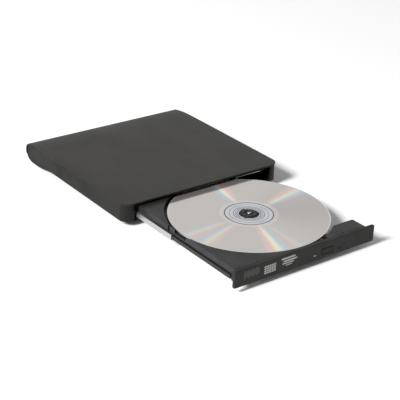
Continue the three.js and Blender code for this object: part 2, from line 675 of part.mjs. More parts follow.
function addTray() {
  add('tray', join(tray(), ...trayScrewPosts()), finishes.trayPlastic);
  add('bezel', bezel(), finishes.bezelPlastic);
  add('tray_bottom_plate', trayBottomPlate(), finishes.steel);
  trayScrewPlaces.forEach(([x, y], i) => {
    add(`tray_screw_${i + 1}`, screwUp(x, y, trayUnderside - 0.5, 1.7, 0.3, 0.7, 4), finishes.steel);
  });
  add('lamp_lens', box(lamp.x0, lamp.x1, bezelFront, bezelFront + 3.4, lamp.z0, lamp.z1), finishes.lampPlastic);
  add('front_board', box(6, 28.6, trayFront + 2.4, trayFront + 3.2, 7.8, 11.1), finishes.board);
  add('eject_switch', box(17, 21, trayFront + 0.6, trayFront + 2.1, 8, 10.8), finishes.chip);
  add('control_board', trayBoard(), finishes.board);
  add('control_chip', box(-26, -12, -24, -10, 8.5, 9.7), finishes.chip);
  add('driver_chip', box(-52, -42, -60, -50, 8.5, 9.7), finishes.chip);
  add('ribbon_socket', box(-8, 6, -4, -1, 8.2, 9.7), finishes.creamPlastic);
  add('latch_solenoid', box(9, 15.8, -20, -6, 7.8, 11), finishes.brass);
}

function addEjectButton() {
  const cap = box(button.x0, button.x1, bezelFront + 0.1, bezelFront + 2, button.z0, button.z1);
  const stem = box(18, 20, bezelFront + 1.8, trayFront - gap, 8.6, 10.2);
  add('eject_button', join(cap, stem), finishes.bezelPlastic);
}

function addMechanism() {
  add('mechanism_frame', mechanismFrame(), finishes.steel);
  for (const [name, side] of [['guide_rod_left', -1], ['guide_rod_right', 1]]) {
    add(name, rodAlongY(guideRod.radius, disc.x + side * guideRod.offset, guideRod.z, guideRod.y0, guideRod.y1),
      finishes.brightSteel);
  }
  add('spindle_base', spindleBase(), finishes.board);
  add('sled_motor', sledMotor(), finishes.steel);
  add('lead_screw', rodAlongY(screw.radius, screw.x, screw.z, screw.y0, screw.y1), finishes.brass);
  add('pickup_sled', pickupSled(), finishes.chip);
  add('lens_holder', lensHolder(), finishes.blackSteel);
  add('objective_lens', objectiveLens(), finishes.glass);
  add('turntable', turntable(), finishes.blackSteel);
  add('hub', hub(), finishes.chip);
  add('optical_disc', opticalDisc(), finishes.disc);
  add('latch_hook', latchHook(), finishes.creamPlastic);
  const pinZ = cavityCeiling - gap;
  add('latch_pin', upright(0.6, latch.pivotX, latch.pivotY, bottomPlateTop + gap, pinZ, 16), finishes.steel);
}

addCase();
addDriveBody();
addTray();
addEjectButton();
addMechanism();
addRail('rail_left', leftRailOuter, -1);
addRail('rail_right', rightRailOuter, 1);

// The origin is under the middle of the whole drive with its tray open
pieces.position.y = -(caseLength - trayStroke) / 2;

const drive = new THREE.Group();
drive.name = 'external_optical_drive';
drive.add(pieces);

export default drive;
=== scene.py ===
# Looks of an external optical drive: materials, fine detail, soft studio light and the camera.
# Metres, in the drive's own frame: +Z up, the tray opens towards -Y.
import json
import math

import bmesh
import bpy
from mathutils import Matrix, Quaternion, Vector

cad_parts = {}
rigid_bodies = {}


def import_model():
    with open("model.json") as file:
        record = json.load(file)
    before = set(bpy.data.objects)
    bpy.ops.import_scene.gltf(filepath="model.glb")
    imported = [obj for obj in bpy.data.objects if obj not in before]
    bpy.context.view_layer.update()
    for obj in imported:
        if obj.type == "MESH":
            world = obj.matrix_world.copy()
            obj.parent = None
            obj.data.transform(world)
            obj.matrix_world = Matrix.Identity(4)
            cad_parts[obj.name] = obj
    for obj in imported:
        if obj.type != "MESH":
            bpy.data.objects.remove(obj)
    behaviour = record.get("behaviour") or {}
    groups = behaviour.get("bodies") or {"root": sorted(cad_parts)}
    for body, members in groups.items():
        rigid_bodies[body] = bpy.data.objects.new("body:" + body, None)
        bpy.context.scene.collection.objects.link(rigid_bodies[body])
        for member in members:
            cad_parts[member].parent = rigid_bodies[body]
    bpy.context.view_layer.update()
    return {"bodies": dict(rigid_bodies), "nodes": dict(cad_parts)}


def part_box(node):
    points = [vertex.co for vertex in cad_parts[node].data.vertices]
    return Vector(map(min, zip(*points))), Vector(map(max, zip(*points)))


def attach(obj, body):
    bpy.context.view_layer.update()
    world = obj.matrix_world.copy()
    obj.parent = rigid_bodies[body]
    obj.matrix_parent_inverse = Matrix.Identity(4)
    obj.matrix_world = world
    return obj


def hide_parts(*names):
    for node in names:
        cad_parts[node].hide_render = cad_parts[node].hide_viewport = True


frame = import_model()
nodes = frame["nodes"]
mm = 0.001
flat_underside = 4.2 * mm      # the case's flat underside, ahead of its hump

# ---- Camera and light -----------------------------------------------------------------------

camera_azimuth = -37.55        # degrees, from straight ahead of the tray towards its left
camera_elevation = 25.8
camera_roll = 2.29
camera_distance = 0.8652
camera_target = Vector((-0.0094, -0.0210, 0.010))
camera_lens = 102.84           # on a 36 mm wide sensor

sky_strength = 0.27
# Soft lights around the drive: azimuth and elevation in degrees, distance, size and power
soft_lights = [
    ("key", 186, 37, 3.6, 0.9, 204),
    ("back_card", 52.5, 27, 1.6, 1.4, 3.0),
]


def add_camera():
    azimuth = math.radians(camera_azimuth)
    elevation = math.radians(camera_elevation)
    back = Vector((
        math.sin(azimuth) * math.cos(elevation),
        -math.cos(azimuth) * math.cos(elevation),
        math.sin(elevation),
    ))
    data = bpy.data.cameras.new("camera")
    data.lens = camera_lens
    data.sensor_width = 36
    data.clip_start = 0.01
    data.clip_end = 50
    camera = bpy.data.objects.new("camera", data)
    camera.location = camera_target + back * camera_distance
    camera.rotation_mode = "QUATERNION"
    level = (-back).to_track_quat("-Z", "Y")
    camera.rotation_quaternion = level @ Quaternion((0, 0, 1), math.radians(camera_roll))
    bpy.context.scene.collection.objects.link(camera)
    bpy.context.scene.camera = camera


def add_area_light(name, place, size, power):
    data = bpy.data.lights.new(name, "AREA")
    data.size = size
    data.energy = power
    light = bpy.data.objects.new(name, data)
    light.location = place
    light.rotation_mode = "QUATERNION"
    light.rotation_quaternion = (-place).to_track_quat("-Z", "Y")
    bpy.context.scene.collection.objects.link(light)


def add_studio():
    scene = bpy.context.scene
    scene.view_settings.view_transform = "Standard"
    world = bpy.data.worlds.new("studio")
    world.use_nodes = True
    background = world.node_tree.nodes["Background"]
    background.inputs["Color"].default_value = (1.0, 1.0, 1.0, 1)
    background.inputs["Strength"].default_value = sky_strength
    scene.world = world
    for name, azimuth, elevation, distance, size, power in soft_lights:
        flat = math.cos(math.radians(elevation))
        place = distance * Vector((
            math.cos(math.radians(azimuth)) * flat,
            math.sin(math.radians(azimuth)) * flat,
            math.sin(math.radians(elevation)),
        ))
        add_area_light(name, place, size, power)


def add_floor():
    mesh = bpy.data.meshes.new("floor")
    half = 12
    corners = [(-half, -half, 0), (half, -half, 0), (half, half, 0), (-half, half, 0)]
    mesh.from_pydata(corners, [], [(0, 1, 2, 3)])
    floor = bpy.data.objects.new("floor", mesh)
    bpy.context.scene.collection.objects.link(floor)
    material = bpy.data.materials.new("floor")
    material.use_nodes = True
    surface = material.node_tree.nodes["Principled BSDF"]
    surface.inputs["Base Color"].default_value = (0.93, 0.93, 0.93, 1)
    surface.inputs["Roughness"].default_value = 0.8
    surface.inputs["Specular IOR Level"].default_value = 0.2
    mesh.materials.append(material)


# ---- Material building blocks ---------------------------------------------------------------

def srgb(red, green, blue):
    """Linear colour of an 8-bit sRGB one."""
    def linear(value):
        value /= 255
        return value / 12.92 if value <= 0.04045 else ((value + 0.055) / 1.055) ** 2.4
    return (linear(red), linear(green), linear(blue), 1)


def scaled(color, factor):
    return (color[0] * factor, color[1] * factor, color[2] * factor, 1)


class Look:
    """One node material. Its textures lie in the piece's own coordinates, in metres."""

    def __init__(self, name, roughness=0.5, metallic=0.0, specular=0.5):
        self.material = bpy.data.materials.new(name)
        self.material.use_nodes = True
        self.tree = self.material.node_tree
        self.surface = self.tree.nodes["Principled BSDF"]
        self.put("Roughness", roughness)
        self.put("Metallic", metallic)
        self.put("Specular IOR Level", specular)
        self.coordinates = self.tree.nodes.new("ShaderNodeTexCoord").outputs["Object"]

    def put(self, socket, value):
        """Sets or links one socket of the shader."""
        self.feed(self.surface.inputs[socket], value)

    def feed(self, target, value):
        if isinstance(value, bpy.types.NodeSocket):
            self.tree.links.new(value, target)
        else:
            target.default_value = value

    def place(self, stretch, about=(0, 0, 0)):
        """The piece's coordinates about a point, stretched; each stretch counts periods per metre."""
        moved = self.tree.nodes.new("ShaderNodeVectorMath")
        moved.operation = "SUBTRACT"
        self.feed(moved.inputs[0], self.coordinates)
        moved.inputs[1].default_value = about
        grown = self.tree.nodes.new("ShaderNodeVectorMath")
        grown.operation = "MULTIPLY"
        self.feed(grown.inputs[0], moved.outputs[0])
        grown.inputs[1].default_value = stretch
        return grown.outputs[0]

    def noise(self, stretch, detail=3.0):
        node = self.tree.nodes.new("ShaderNodeTexNoise")
        self.feed(node.inputs["Vector"], self.place(stretch))
        node.inputs["Scale"].default_value = 1
        node.inputs["Detail"].default_value = detail
        return node.outputs[0]

    def cells(self, stretch, feature="F1"):
        node = self.tree.nodes.new("ShaderNodeTexVoronoi")
        node.feature = feature
        self.feed(node.inputs["Vector"], self.place(stretch))
        node.inputs["Scale"].default_value = 1
        return node.outputs["Distance"]

    def math(self, operation, first, second=0.0):
        node = self.tree.nodes.new("ShaderNodeMath")
        node.operation = operation
        self.feed(node.inputs[0], first)
        self.feed(node.inputs[1], second)
        return node.outputs[0]

    def span(self, value, low, high, new_low=0.0, new_high=1.0):
        """Maps low..high to new_low..new_high, held at the ends, with a smooth step."""
        node = self.tree.nodes.new("ShaderNodeMapRange")
        node.interpolation_type = "SMOOTHSTEP"
        for socket, number in zip(node.inputs[:5], (value, low, high, new_low, new_high)):
            self.feed(socket, number)
        return node.outputs[0]

    def blend(self, amount, first, second, mode="MIX"):
        node = self.tree.nodes.new("ShaderNodeMix")
        node.data_type = "RGBA"
        node.blend_type = mode
        self.feed(node.inputs[0], amount)
        self.feed(node.inputs[6], first)
        self.feed(node.inputs[7], second)
        return node.outputs[2]

    def ramp(self, value, stops):
        node = self.tree.nodes.new("ShaderNodeValToRGB")
        elements = node.color_ramp.elements
        while len(elements) < len(stops):
            elements.new(0.5)
        for element, (position, color) in zip(elements, stops):
            element.position = position
            element.color = color
        self.feed(node.inputs[0], value)
        return node.outputs[0]

    def bump(self, *layers):
        """Stacks bump layers, each (height, depth in metres)."""
        normal = None
        for height, depth in layers:
            node = self.tree.nodes.new("ShaderNodeBump")
            node.inputs["Strength"].default_value = 1
            node.inputs["Distance"].default_value = depth
            self.feed(node.inputs["Height"], height)
            if normal is not None:
                self.feed(node.inputs["Normal"], normal)
            normal = node.outputs[0]
        self.put("Normal", normal)

    def edges(self, radius):
        """1 on edges and corners of the piece, 0 on its flat faces."""
        rounded = self.tree.nodes.new("ShaderNodeBevel")
        rounded.samples = 4
        rounded.inputs["Radius"].default_value = radius
        geometry = self.tree.nodes.new("ShaderNodeNewGeometry")
        alike = self.tree.nodes.new("ShaderNodeVectorMath")
        alike.operation = "DOT_PRODUCT"
        self.feed(alike.inputs[0], rounded.outputs[0])
        self.feed(alike.inputs[1], geometry.outputs["Normal"])
        return self.span(alike.outputs["Value"], 0.995, 0.90)

    def about(self, centre):
        """Distance from an upright axis, and angle about it in turns, from 0 to 1."""
        parts = self.tree.nodes.new("ShaderNodeSeparateXYZ")
        self.feed(parts.inputs[0], self.place((1, 1, 1), centre))
        across = self.math("MULTIPLY", parts.outputs[0], parts.outputs[0])
        along = self.math("MULTIPLY", parts.outputs[1], parts.outputs[1])
        radius = self.math("SQRT", self.math("ADD", across, along))
        angle = self.math("ARCTAN2", parts.outputs[1], parts.outputs[0])
        turns = self.math("FRACT", self.math("ADD", self.math("DIVIDE", angle, math.tau), 1.0))
        return radius, turns


# ---- Materials --------------------------------------------------------------------------------

def moulded(name, color, grain=5500, depth=0.012, roughness=0.5, specular=0.4, edge_wear_and_highlight=0.5):
    """Moulded plastic: fine spark-eroded grain, faint flow marks, and lighter, smoother edges, partly
    polished by handling and partly a painted highlight.
    """
    look = Look(name, specular=specular)
    cloud = look.noise((35, 35, 35), 4)
    fine = look.noise((grain, grain, grain), 2)
    pits = look.cells((grain * 0.6, grain * 0.6, grain * 0.6))
    tint = look.blend(look.span(cloud, 0.3, 0.7), scaled(color, 0.88), scaled(color, 1.12))
    speck = look.blend(look.span(fine, 0.35, 0.75), scaled(color, 0.8), scaled(color, 1.2))
    body = look.blend(0.4, tint, speck)
    # Lighter rounded edges: partly wear from handling, partly a painted highlight.
    bright_edges = look.math("MULTIPLY", look.edges(0.35 * mm), look.span(look.noise((220, 220, 220)), 0.35, 0.7))
    bright = (color[0] * 1.6 + 0.02, color[1] * 1.6 + 0.02, color[2] * 1.6 + 0.02, 1)
    look.put("Base Color", look.blend(look.math("MULTIPLY", bright_edges, edge_wear_and_highlight), body, bright))
    smear = look.span(look.noise((90, 60, 90), 5), 0.35, 0.7, -0.05, 0.07)
    polish = look.math("MULTIPLY", bright_edges, -0.12)
    look.put("Roughness", look.math("ADD", look.math("ADD", smear, polish), roughness))
    look.bump((pits, depth * mm), (fine, depth * 0.7 * mm))
    return look.material


def brushed_cover(name, color):
    """Dark cover with fine lines drawn front to rear, and a border that is duller and darkened with painted
    shade of the seam under its rim.
    """
    look = Look(name, specular=0.2)
    hair = look.noise((4600, 16, 4600), 4)
    strand = look.noise((1300, 4, 1300), 2)
    cloud = look.noise((18, 12, 18), 4)
    lines = look.math("ADD", look.math("MULTIPLY", hair, 0.72), look.math("MULTIPLY", strand, 0.28))
    tone = look.blend(look.span(lines, 0.34, 0.66), scaled(color, 0.62), scaled(color, 1.42))
    tone = look.blend(look.span(cloud, 0.35, 0.7, 0, 0.12), tone, scaled(color, 1.25))
    # Painted shade: the rounded border is darkened where the seam under the cover's rim lies in shadow, and
    # made duller.
    painted_shade_and_dull_edge = look.edges(1.1 * mm)
    look.put("Base Color", look.blend(look.math("MULTIPLY", painted_shade_and_dull_edge, 0.95), tone, scaled(color, 0.08)))
    smear = look.span(look.noise((40, 25, 40), 5), 0.35, 0.7, -0.02, 0.03)
    rough = look.math("ADD", smear, look.span(lines, 0.3, 0.7, 0.40, 0.52))
    look.put("Roughness", look.math("ADD", rough, look.math("MULTIPLY", painted_shade_and_dull_edge, 0.4)))
    look.bump((lines, 0.012 * mm), (look.noise((5200, 5200, 5200)), 0.004 * mm))
    return look.material


def metal(name, color, stretch, roughness, tarnish=0.12, depth=0.006):
    """Metal with a drawn grain: stretch gives the lines' periods per metre along each axis."""
    look = Look(name, metallic=1.0)
    grain = look.noise(stretch, 4)
    cloud = look.noise((60, 60, 60), 5)
    tone = look.blend(look.span(grain, 0.3, 0.7), scaled(color, 0.86), scaled(color, 1.1))
    dull = look.blend(look.span(cloud, 0.45, 0.75, 0, tarnish), tone, scaled(color, 0.45))
    bright_edges = look.math("MULTIPLY", look.edges(0.25 * mm), 0.35)
    look.put("Base Color", look.blend(bright_edges, dull, scaled(color, 1.25)))
    spots = look.span(cloud, 0.4, 0.75, -0.03, 0.12)
    drawn = look.span(grain, 0.3, 0.7, roughness - 0.05, roughness + 0.07)
    look.put("Roughness", look.math("ADD", spots, drawn))
    look.bump((grain, depth * mm))
    return look.material


def rubber(name):
    look = Look(name, specular=0.3)
    grain = look.noise((2600, 2600, 2600), 4)
    dust = look.span(look.noise((300, 300, 300), 5), 0.5, 0.75, 0, 0.5)
    look.put("Base Color", look.blend(dust, srgb(28, 28, 28), srgb(70, 68, 64)))
    look.put("Roughness", look.span(grain, 0.3, 0.7, 0.78, 0.92))
    look.bump((grain, 0.03 * mm))
    return look.material


def circuit_board(name):
    """Green solder mask over copper tracks, with plated holes."""
    look = Look(name, specular=0.5)
    tracks = look.cells((900, 130, 1), "DISTANCE_TO_EDGE")
    crossing = look.cells((130, 900, 1), "DISTANCE_TO_EDGE")
    line = look.math("MAXIMUM", look.span(tracks, 0.10, 0.06), look.span(crossing, 0.10, 0.06))
    holes = look.span(look.cells((420, 420, 1)), 0.16, 0.12)
    mask = look.blend(look.span(look.noise((70, 70, 70)), 0.3, 0.7), srgb(14, 66, 34), srgb(20, 84, 42))
    copper = look.blend(line, mask, srgb(52, 128, 62))
    look.put("Base Color", look.blend(holes, copper, srgb(190, 178, 140)))
    look.put("Metallic", look.math("MULTIPLY", holes, 0.9))
    look.put("Roughness", look.span(look.noise((500, 500, 500)), 0.3, 0.7, 0.26, 0.42))
    look.bump((line, 0.03 * mm), (look.noise((3000, 3000, 3000)), 0.004 * mm))
    return look.material


def ribbon_film(name):
    """Cream film with the printed conductors showing through as stripes."""
    look = Look(name, specular=0.5)
    parts = look.tree.nodes.new("ShaderNodeSeparateXYZ")
    look.feed(parts.inputs[0], look.place((1000, 1000, 1000)))
    wave = look.math("ABSOLUTE", look.math("SINE", look.math("MULTIPLY", parts.outputs[0], math.pi)))
    stripe = look.span(wave, 0.35, 0.6)
    cloud = look.span(look.noise((80, 30, 80)), 0.3, 0.7)
    film = look.blend(cloud, srgb(222, 216, 200), srgb(236, 231, 218))
    look.put("Base Color", look.blend(stripe, srgb(168, 150, 128), film))
    look.put("Roughness", look.span(look.noise((200, 200, 200)), 0.3, 0.7, 0.28, 0.42))
    look.bump((stripe, 0.02 * mm))
    return look.material


def lens_glass(name):
    """Small coated lens: a violet-blue sheen over dark glass."""
    look = Look(name, specular=0.8)
    drift = look.span(look.noise((900, 900, 900), 1), 0.35, 0.65)
    sheen = look.blend(drift, srgb(54, 62, 130), srgb(96, 70, 150))
    look.put("Base Color", sheen)
    look.put("Roughness", look.span(look.noise((1500, 1500, 1500)), 0.3, 0.7, 0.03, 0.07))
    look.surface.inputs["Coat Weight"].default_value = 1
    look.surface.inputs["Coat Roughness"].default_value = 0.02
    look.surface.inputs["Coat Tint"].default_value = (0.75, 0.85, 1, 1)
    return look.material


def lamp_plastic(name):
    """Milky light guide."""
    look = Look(name, specular=0.5)
    milk = look.noise((1800, 1800, 1800), 3)
    look.put("Base Color", look.blend(milk, srgb(118, 119, 115), srgb(150, 151, 146)))
    look.put("Roughness", look.span(milk, 0.3, 0.7, 0.25, 0.4))
    look.surface.inputs["Subsurface Weight"].default_value = 0.2
    look.surface.inputs["Subsurface Scale"].default_value = 0.5 * mm
    return look.material


def label_film(name, rule):
    """Silvery film with a plain ruled pattern; rule is the lines' spacing in metres."""
    look = Look(name, specular=0.5)
    parts = look.tree.nodes.new("ShaderNodeSeparateXYZ")
    look.feed(parts.inputs[0], look.place((1 / rule, 1 / rule, 1 / rule)))
    row = look.math("ABSOLUTE", look.math("SUBTRACT", look.math("FRACT", parts.outputs[1]), 0.5))
    line = look.span(row, 0.06, 0.03)
    film = look.blend(look.noise((140, 140, 140), 4), srgb(176, 177, 178), srgb(196, 196, 194))
    look.put("Base Color", look.blend(line, film, srgb(96, 97, 98)))
    look.put("Metallic", 0.35)
    look.put("Roughness", look.span(look.noise((900, 900, 900)), 0.3, 0.7, 0.34, 0.46))
    look.bump((look.noise((60, 60, 60), 3), 0.03 * mm))
    return look.material


# ---- The disc's foil ----------------------------------------------------------------------------

spindle_low, spindle_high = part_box("optical_disc")
spindle_axis = (spindle_low + spindle_high) / 2

# Each lamp throws one rainbow streak towards its own side and a split pair on the far side.
# Its angle about the disc is in degrees, and its turn says which way the colours run.
streak_lamps = [
    {"angle": 12, "turn": -1, "near": 0.65, "far": (0.3, 0.4)},
    {"angle": 80, "turn": 1, "near": 0.85, "far": (0.85, 0.2)},
]
streak_split = 8               # degrees from straight across the disc to each far streak
streak_half_width = 10

# Colours across a streak, against the plain foil
spectrum = [
    (0.0, (0.80, 0.66, 0.68, 1)),
    (0.22, (0.94, 0.58, 0.52, 1)),
    (0.42, (1.0, 0.88, 0.60, 1)),
    (0.56, (0.94, 1.0, 0.76, 1)),
    (0.72, (0.62, 0.86, 0.78, 1)),
    (0.88, (0.52, 0.64, 0.90, 1)),
    (1.0, (0.66, 0.66, 0.80, 1)),
]
# The foil is dimmer on the side turned away from the key light
dim_angle = -20                # degrees about the disc
dim_reach = 70                 # degrees either side of it
dim_depth = 0.18


def angle_from(look, turns, angle):
    """Signed degrees from a direction about the disc, -180 to 180."""
    offset = look.math("FRACT", look.math("ADD", turns, 1.5 - angle / 360))
    return look.math("MULTIPLY", look.math("SUBTRACT", offset, 0.5), 360)


def streak_rows():
    """Angle, turn and strength of every streak."""
    for lamp in streak_lamps:
        yield lamp["angle"], lamp["turn"], lamp["near"]
        for side, strength in zip((-1, 1), lamp["far"]):
            yield lamp["angle"] + 180 + side * streak_split, lamp["turn"], strength


def streaked(look, turns, radius, foil):
    """Lays the rainbow streaks over the foil's colour."""
    fade = look.span(radius, 16 * mm, 34 * mm, 0.35, 1.0)
    for angle, turn, strength in streak_rows():
        across = look.math("MULTIPLY", angle_from(look, turns, angle), turn / streak_half_width)
        colour = look.ramp(look.span(across, -1, 1), spectrum)
        cover = look.span(look.math("ABSOLUTE", across), 0.35, 1.15, 1, 0)
        foil = look.blend(look.math("MULTIPLY", look.math("MULTIPLY", cover, fade), strength), foil, colour)
    return foil


def disc_foil(name):
    """Aluminium foil under clear plastic: fine circular tracks and rainbow streaks."""
    look = Look(name, metallic=0.82)
    radius, turns = look.about(spindle_axis)
    away = look.math("ABSOLUTE", angle_from(look, turns, dim_angle))
    plain = (0.60, 0.57, 0.54, 1)
    foil = look.blend(look.span(away, dim_reach, 0), plain, scaled(plain, 1 - dim_depth))
    foil = streaked(look, turns, radius, foil)
    track = look.tree.nodes.new("ShaderNodeTexNoise")
    track.noise_dimensions = "1D"
    look.feed(track.inputs["W"], look.math("MULTIPLY", radius, 2600))
    track.inputs["Scale"].default_value = 1
    track.inputs["Detail"].default_value = 3
    rings = track.outputs[0]
    foil = look.blend(look.span(rings, 0.3, 0.7, 0, 0.10), foil, (0.9, 0.9, 0.92, 1))
    inner = look.span(radius, 22.4 * mm, 22.9 * mm, 1, 0)
    foil = look.blend(look.math("MULTIPLY", inner, 0.35), foil, (0.74, 0.74, 0.74, 1))
    groove = look.math("SUBTRACT", 1.0, look.span(
        look.math("ABSOLUTE", look.math("SUBTRACT", radius, 22.7 * mm)), 0.15 * mm, 0.35 * mm))
    foil = look.blend(look.math("MULTIPLY", groove, 0.35), foil, (0.35, 0.35, 0.36, 1))
    look.put("Base Color", foil)
    dust = look.span(look.noise((260, 260, 260), 5), 0.5, 0.8, 0, 0.06)
    look.put("Roughness", look.math("ADD", dust, look.span(rings, 0.3, 0.7, 0.10, 0.16)))
    look.bump((rings, 0.001 * mm))
    return look.material


def disc_clear(name, color, roughness):
    """Clear plastic of the clamping area and the rim, silvered from below."""
    look = Look(name, metallic=0.75)
    radius, turns = look.about(spindle_axis)
    # Painted sheen: four lighter sectors about the disc's axis.
    painted_sheen_lobes = look.math("ABSOLUTE", look.math("SINE", look.math("MULTIPLY", turns, 2 * math.tau)))
    rings = look.math("SINE", look.math("MULTIPLY", radius, math.tau / (1.15 * mm)))
    tone = look.blend(look.span(rings, 0.4, 1.0, 0, 0.35), color, scaled(color, 0.6))
    look.put("Base Color", look.blend(look.math("MULTIPLY", painted_sheen_lobes, 0.3), tone, scaled(color, 1.25)))
    look.put("Roughness", look.span(look.noise((400, 400, 400)), 0.3, 0.7, roughness, roughness + 0.08))
    look.bump((rings, 0.003 * mm))
    look.surface.inputs["Coat Weight"].default_value = 0.3
    look.surface.inputs["Coat Roughness"].default_value = 0.05
    return look.material


# ---- Pieces ---------------------------------------------------------------------------------

def add_piece(name, shape, material, body, replaces=(), bevel=0.0, smooth=40):
    """Turns a finished bmesh into a named piece riding on a body."""
    bmesh.ops.recalc_face_normals(shape, faces=shape.faces)
    mesh = bpy.data.meshes.new(name)
    shape.to_mesh(mesh)
    shape.free()
    mesh.materials.append(material)
    mesh.shade_smooth()
    mesh.set_sharp_from_angle(angle=math.radians(smooth))
    piece = bpy.data.objects.new(name, mesh)
    bpy.context.scene.collection.objects.link(piece)
    if bevel:
        soften(piece, bevel)
    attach(piece, body)
    if replaces:
        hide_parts(*replaces)
    return piece


def soften(piece, width):
    """Rounds the sharp edges and shades by face area."""
    bevel = piece.modifiers.new("bevel", "BEVEL")
    bevel.limit_method = "ANGLE"
    bevel.angle_limit = math.radians(40)
    bevel.width = width
    bevel.segments = 2
    bevel.use_clamp_overlap = True
    shading = piece.modifiers.new("shading", "WEIGHTED_NORMAL")
    shading.weight = 50


def lathe(shape, profile, centre, segments):
    """Adds a closed ring: (radius, height) points turned about an upright axis. Returns its bands."""
    rings = []
    for radius, height in profile:
        ring = []
        for step in range(segments):
            angle = math.tau * step / segments
            ring.append(shape.verts.new((
                centre.x + radius * math.cos(angle), centre.y + radius * math.sin(angle), height)))
        rings.append(ring)
    bands = []
    for low, high in zip(rings, rings[1:] + rings[:1]):
        band = []
        for step in range(segments):
            after = (step + 1) % segments
            band.append(shape.faces.new((low[step], low[after], high[after], high[step])))
        bands.append(band)
    return bands


def turned(shape, profile, centre, segments):
    """Adds a solid body of revolution: the profile's two ends are closed with caps."""
    bands = lathe(shape, profile, centre, segments)
    for face in bands[-1]:
        shape.faces.remove(face)
    edges = [edge for edge in shape.edges if edge.is_boundary]
    bmesh.ops.holes_fill(shape, edges=edges, sides=0)


def prism(shape, outline, place, low, high):
    """Adds an outline of 2-D points drawn at low and high; place(u, v, w) gives each corner."""
    ends = [[shape.verts.new(place(u, v, w)) for u, v in outline] for w in (low, high)]
    shape.faces.new(ends[0])
    shape.faces.new(ends[1][::-1])
    count = len(outline)
    for i in range(count):
        j = (i + 1) % count
        shape.faces.new((ends[0][i], ends[1][i], ends[1][j], ends[0][j]))


def rounded(low, high, radius, steps=5):
    """Outline of a rounded rectangle between two corners."""
    points = []
    corners = [
        (high[0] - radius, high[1] - radius, 0), (low[0] + radius, high[1] - radius, 90),
        (low[0] + radius, low[1] + radius, 180), (high[0] - radius, low[1] + radius, 270),
    ]
    for u, v, start in corners:
        for step in range(steps + 1):
            angle = math.radians(start + 90 * step / steps)
            points.append((u + radius * math.cos(angle), v + radius * math.sin(angle)))
    return points


def add_disc():
    """The disc, silver side up, with its stacking ring, moulded grooves and clear rim."""
    low, high = spindle_low.z, spindle_high.z
    edge = 0.12 * mm
    foil, clear, groove, rim = range(4)
    # Radius in millimetres, height, and the region of the band that starts there
    profile = [
        (7.5, low + edge, clear), (7.62, low, clear), (16.6, low, clear),
        (16.9, low - 0.15 * mm, clear), (17.5, low - 0.15 * mm, clear), (17.8, low, foil),
        (59.88, low, rim), (60, low + edge, rim), (60, high - edge, rim), (59.88, high, rim),
        (58.9, high, foil),
    ]
    for radius, half, depth in ((18.0, 0.42, 0.12), (14.6, 0.16, 0.05), (11.6, 0.24, 0.07),
                                (10.2, 0.2, 0.07), (8.8, 0.3, 0.07)):
        profile += [
            (radius + half, high, groove), (radius + half * 0.6, high - depth * mm, groove),
            (radius - half * 0.6, high - depth * mm, groove), (radius - half, high, clear),
        ]
    profile += [(7.62, high, clear), (7.5, high - edge, clear)]
    shape = bmesh.new()
    bands = lathe(shape, [(radius * mm, height) for radius, height, _ in profile], spindle_axis, 240)
    for band, (_, _, region) in zip(bands, profile):
        for face in band:
            face.material_index = region
    piece = add_piece("optical_disc_foil", shape, disc_foil("disc foil"), "spindle",
                      ["optical_disc"], smooth=30)
    piece.data.materials.append(disc_clear("disc clamping area", (0.60, 0.605, 0.635, 1), 0.16))
    # The grooves' walls and floors get a near-black tone: painted shade in the grooves.
    piece.data.materials.append(disc_clear("disc mould groove", (0.10, 0.11, 0.12, 1), 0.2))
    piece.data.materials.append(disc_clear("disc rim", (0.60, 0.60, 0.60, 1), 0.12))


